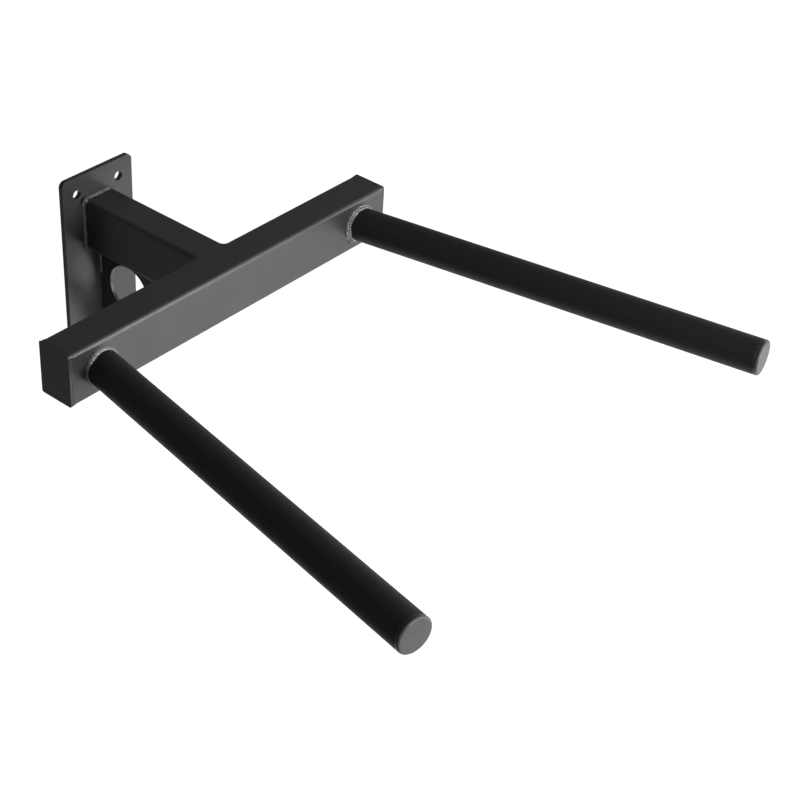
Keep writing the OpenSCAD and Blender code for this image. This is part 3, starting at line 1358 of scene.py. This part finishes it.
@dataclass
class SteelWork:
    """The plates and tubes, whose CAD shapes stay, with their edges eased under the coat.

    Attributes:
        ease: Width of the eased edges by CAD node, 0 where they stay as they are.
        ease_steps: Faces across an eased edge.
        merge: Distance within which points are one.
        flat_angle: Angle up to which faces count as one flat.
        edge_angle: Angle from which an edge is eased.
    """

    ease: dict[str, float] = field(default_factory=lambda: {
        "wall_plate": 0.35 * MM,
        "arm_tube": 0.30 * MM,
        "gusset_plate": 0.45 * MM,
        "crossbeam_tube": 0.22 * MM,
        "crossbeam_end_plate_left": 0.45 * MM,
        "crossbeam_end_plate_right": 0.45 * MM,
        "handle_tube_left": 0.20 * MM,
        "handle_tube_right": 0.20 * MM,
        "weld_arm_to_crossbeam": 0.0,
    })
    ease_steps: int = 3
    merge: float = 0.01 * MM
    flat_angle: float = math.radians(0.6)
    edge_angle: float = math.radians(35)

    def dress(self, node: str, material: bpy.types.Material) -> None:
        """Give a CAD node its finish and eased edges.

        Args:
            node: Name of the CAD node.
            material: Its material.
        """
        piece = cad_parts[node]
        piece.data.materials.clear()
        piece.data.materials.append(material)
        if not self.ease[node]:
            LOG.info("%s: CAD shape kept", node)
            return
        weld = piece.modifiers.new("merge_points", "WELD")
        weld.merge_threshold = self.merge
        flat = piece.modifiers.new("flat_faces", "DECIMATE")
        flat.decimate_type = "DISSOLVE"
        flat.angle_limit = self.flat_angle
        bevel = piece.modifiers.new("eased_edges", "BEVEL")
        bevel.width = self.ease[node]
        bevel.segments = self.ease_steps
        bevel.limit_method = "ANGLE"
        bevel.angle_limit = self.edge_angle
        bevel.harden_normals = True
        normals = piece.modifiers.new("flat_shading", "WEIGHTED_NORMAL")
        normals.keep_sharp = True
        LOG.info("%s: CAD shape kept, edges eased by %.2f mm", node, self.ease[node] / MM)


# Studio

# Point near the crossbeam's back that the lamps face
LAMP_AIM = (0.0, -0.15, 0.05)


@dataclass
class Softbox:
    """An area lamp that faces a point."""

    name: str
    place: tuple[float, float, float]
    aim: tuple[float, float, float]
    width: float
    height: float
    power: float

    def build(self) -> None:
        """Add the lamp, unseen by the camera."""
        lamp = bpy.data.lights.new(self.name, "AREA")
        lamp.shape = "RECTANGLE"
        lamp.size = self.width
        lamp.size_y = self.height
        lamp.energy = self.power
        placed = bpy.data.objects.new(self.name, lamp)
        bpy.context.scene.collection.objects.link(placed)
        placed.location = self.place
        placed.rotation_euler = (Vector(self.aim) - Vector(self.place)).to_track_quat("-Z", "Y").to_euler()
        placed.visible_camera = False


@dataclass
class Flag:
    """A grey card that only reflections see, as a photographer sets beside a dark object."""

    name: str
    place: tuple[float, float, float]
    facing: tuple[float, float, float]
    width: float
    height: float

    def build(self, material: bpy.types.Material) -> None:
        """Add the card.

        Args:
            material: Its plain grey.
        """
        clear_selection()
        bpy.ops.mesh.primitive_plane_add(size=1.0)
        card = name_piece(bpy.context.object, self.name)
        turn = Vector(self.facing).to_track_quat("Z", "Y").to_matrix().to_4x4()
        scale = Matrix.Diagonal((self.width, self.height, 1.0, 1.0))
        card.data.transform(Matrix.Translation(self.place) @ turn @ scale)
        card.data.materials.append(material)
        card.visible_camera = False
        card.visible_diffuse = False
        card.visible_transmission = False
        card.visible_shadow = False
        card.visible_volume_scatter = False


@dataclass
class Studio:
    """Pale floor, soft lamps, grey cards and the camera.

    Attributes:
        floor_z: Height of the floor.
        floor_half: Half the floor's width.
        floor_shade: Grey level of the floor.
        floor_glow: Brightness of the floor's own glow to the rays that see it.
        world_level: Brightness of the room to the rays that don't see it.
        lens_mm: Focal length.
        sensor_mm: Width of the sensor.
        camera_at: Place of the camera.
        camera_yaw: Turn of the camera from +Y towards +X, in radians.
        camera_pitch: Tilt of the camera downwards, in radians.
        camera_roll: Roll of the camera, in radians.
        near_clip: Nearest distance that the camera sees.
        far_clip: Farthest distance that the camera sees.
        flag_level: Brightness of the grey cards.
        lamps: The lamps.
        flags: The grey cards.
    """

    floor_z: float = -1.05
    floor_half: float = 12.0
    floor_shade: float = 0.50
    floor_glow: float = 1.0
    world_level: float = 0.02
    lens_mm: float = 82.857
    sensor_mm: float = 36.0
    camera_at: tuple[float, float, float] = (-1.169938, -1.334184, 1.096869)
    camera_yaw: float = 0.91591
    camera_pitch: float = 0.62447
    camera_roll: float = -0.06549
    near_clip: float = 0.05
    far_clip: float = 60.0
    flag_level: float = 0.21
    lamps: Sequence[Softbox] = field(default_factory=lambda: (
        Softbox("key_right", (1.02, -1.92, -0.20), LAMP_AIM, width=0.5, height=1.2, power=14.0),
        Softbox("key_right_wide", (1.55, -1.65, 0.0), LAMP_AIM, width=0.5, height=1.2, power=5.0),
        Softbox("fill_front", (-0.02, -2.65, 0.50), LAMP_AIM, width=0.5, height=0.5, power=43.0),
        Softbox("fill_high_right", (0.92, -1.80, 0.80), LAMP_AIM, width=0.7, height=0.8, power=12.0),
    ))
    flags: Sequence[Flag] = field(default_factory=lambda: (
        Flag("flag_behind", (0.5, 1.9, 0.9), (0.0, -1.0, 0.0), width=7.0, height=4.4),
        Flag("flag_above", (0.5, 1.0, 2.6), (0.0, 0.0, -1.0), width=7.0, height=3.0),
        Flag("flag_left", (-2.4, 0.9, 0.7), (1.0, 0.0, 0.0), width=3.6, height=3.0),
        Flag("flag_floor_left", (-2.0, 0.0, -1.04), (0.0, 0.0, 1.0), width=3.0, height=4.6),
    ))

    def seen_share(self, tree: bpy.types.NodeTree) -> bpy.types.NodeSocket:
        """Mask of the rays that see the backdrop: the camera's, and those off gloss and through glass.

        Args:
            tree: Node tree that gets the mask.

        Returns:
            1 for such a ray, 0 for any other.
        """
        path = add_node(tree, "ShaderNodeLightPath")
        camera = path.outputs["Is Camera Ray"]
        gloss = path.outputs["Is Glossy Ray"]
        glass = path.outputs["Is Transmission Ray"]
        sharp = add_node(tree, "ShaderNodeMath", {0: camera, 1: gloss}, operation="MAXIMUM")
        every = add_node(tree, "ShaderNodeMath", {0: sharp.outputs[0], 1: glass}, operation="MAXIMUM")
        return every.outputs[0]

    def build_world(self) -> None:
        """Make the world white where it is seen and dim elsewhere, as a weak fill light."""
        world = bpy.data.worlds.new("white_room")
        bpy.context.scene.world = world
        world.use_nodes = True
        tree = world.node_tree
        background = tree.nodes["Background"]
        level = add_node(tree, "ShaderNodeMapRange", {"Value": self.seen_share(tree)},
                         to_min=self.world_level, to_max=1.0)
        background.inputs["Color"].default_value = WHITE
        tree.links.new(level.outputs[0], background.inputs["Strength"])

    def build_floor(self) -> None:
        """Lay a pale floor that glows white to the camera and vanishes from below."""
        clear_selection()
        bpy.ops.mesh.primitive_plane_add(size=2 * self.floor_half)
        floor = name_piece(bpy.context.object, "studio_floor")
        floor.data.transform(Matrix.Translation((0, 0, self.floor_z)))
        made, tree, shader = new_material("pale_floor")
        shade = self.floor_shade
        shader.inputs["Base Color"].default_value = (shade, shade, shade, 1.0)
        shader.inputs["Roughness"].default_value = 1.0
        shader.inputs["Specular IOR Level"].default_value = 0.0
        shader.inputs["Emission Color"].default_value = WHITE
        glow = add_node(tree, "ShaderNodeMath", {0: self.seen_share(tree)}, operation="MULTIPLY")
        glow.inputs[1].default_value = self.floor_glow
        tree.links.new(glow.outputs[0], shader.inputs["Emission Strength"])
        clear = add_node(tree, "ShaderNodeBsdfTransparent")
        facing = add_node(tree, "ShaderNodeNewGeometry")
        both = add_node(tree, "ShaderNodeMixShader", {0: facing.outputs["Backfacing"], 1: shader.outputs[0],
                                                      2: clear.outputs[0]})
        tree.links.new(both.outputs[0], tree.nodes["Material Output"].inputs["Surface"])
        floor.data.materials.append(made)

    def build_camera(self) -> None:
        """Stand the camera where the photograph was taken."""
        yaw, pitch, roll = self.camera_yaw, self.camera_pitch, self.camera_roll
        ahead = Vector((math.sin(yaw) * math.cos(pitch), math.cos(yaw) * math.cos(pitch), -math.sin(pitch)))
        level = Vector((math.cos(yaw), -math.sin(yaw), 0.0))
        down = ahead.cross(level)
        right = level * math.cos(roll) + down * math.sin(roll)
        lower = down * math.cos(roll) - level * math.sin(roll)
        camera = bpy.data.cameras.new("photo_camera")
        camera.lens = self.lens_mm
        camera.sensor_width = self.sensor_mm
        camera.clip_start = self.near_clip
        camera.clip_end = self.far_clip
        placed = bpy.data.objects.new("photo_camera", camera)
        bpy.context.scene.collection.objects.link(placed)
        turn = Matrix((right, -lower, -ahead)).transposed().to_4x4()
        placed.matrix_world = Matrix.Translation(self.camera_at) @ turn
        bpy.context.scene.camera = placed

    def build(self) -> None:
        """Build the whole studio."""
        self.build_world()
        self.build_floor()
        for lamp in self.lamps:
            lamp.build()
        flag_grey, _, shader = new_material("flag_grey")
        shader.inputs["Base Color"].default_value = BLACK
        shader.inputs["Specular IOR Level"].default_value = 0.0
        shader.inputs["Emission Color"].default_value = WHITE
        shader.inputs["Emission Strength"].default_value = self.flag_level
        for flag in self.flags:
            flag.build(flag_grey)
        self.build_camera()
        bpy.context.scene.view_settings.view_transform = "Standard"
        LOG.info("studio: %d lamps, %d flags", len(self.lamps), len(self.flags))


def main() -> None:
    """Build the pieces in order, dress them and light them."""
    logging.basicConfig(level=logging.INFO, format="%(name)s %(message)s")
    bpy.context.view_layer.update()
    sizes = StationSizes()
    effects = Effects()
    # The bead coat is a painted sheen, and the grip coat's pale edges are a painted highlight
    frame_coat, bead_coat_painted_sheen, foot_coat, grip_coat, plug_coat = (
        coat.material(effects) for coat in (FRAME_COAT, BEAD_COAT_PAINTED_SHEEN, FOOT_COAT, GRIP_COAT, PLUG_COAT))

    steel = SteelWork()
    for node in steel.ease:
        steel.dress(node, grip_coat if node.startswith("handle_tube") else frame_coat)
    handles = HandleBeads(sizes)
    for side in Side:
        handles.dress(side, bead_coat_painted_sheen)
        EndPlug(sizes, side).dress(plug_coat)
        EndSeam(sizes, side).dress(frame_coat)
    # The spatter drops take the beads' paler coat, a painted glint
    for drop in SPATTER:
        drop.dress(bead_coat_painted_sheen)
    ArmFootBead(sizes).dress(foot_coat)
    GussetBeads(sizes).dress(foot_coat)

    Studio().build()


if __name__ == "__main__":
    main()
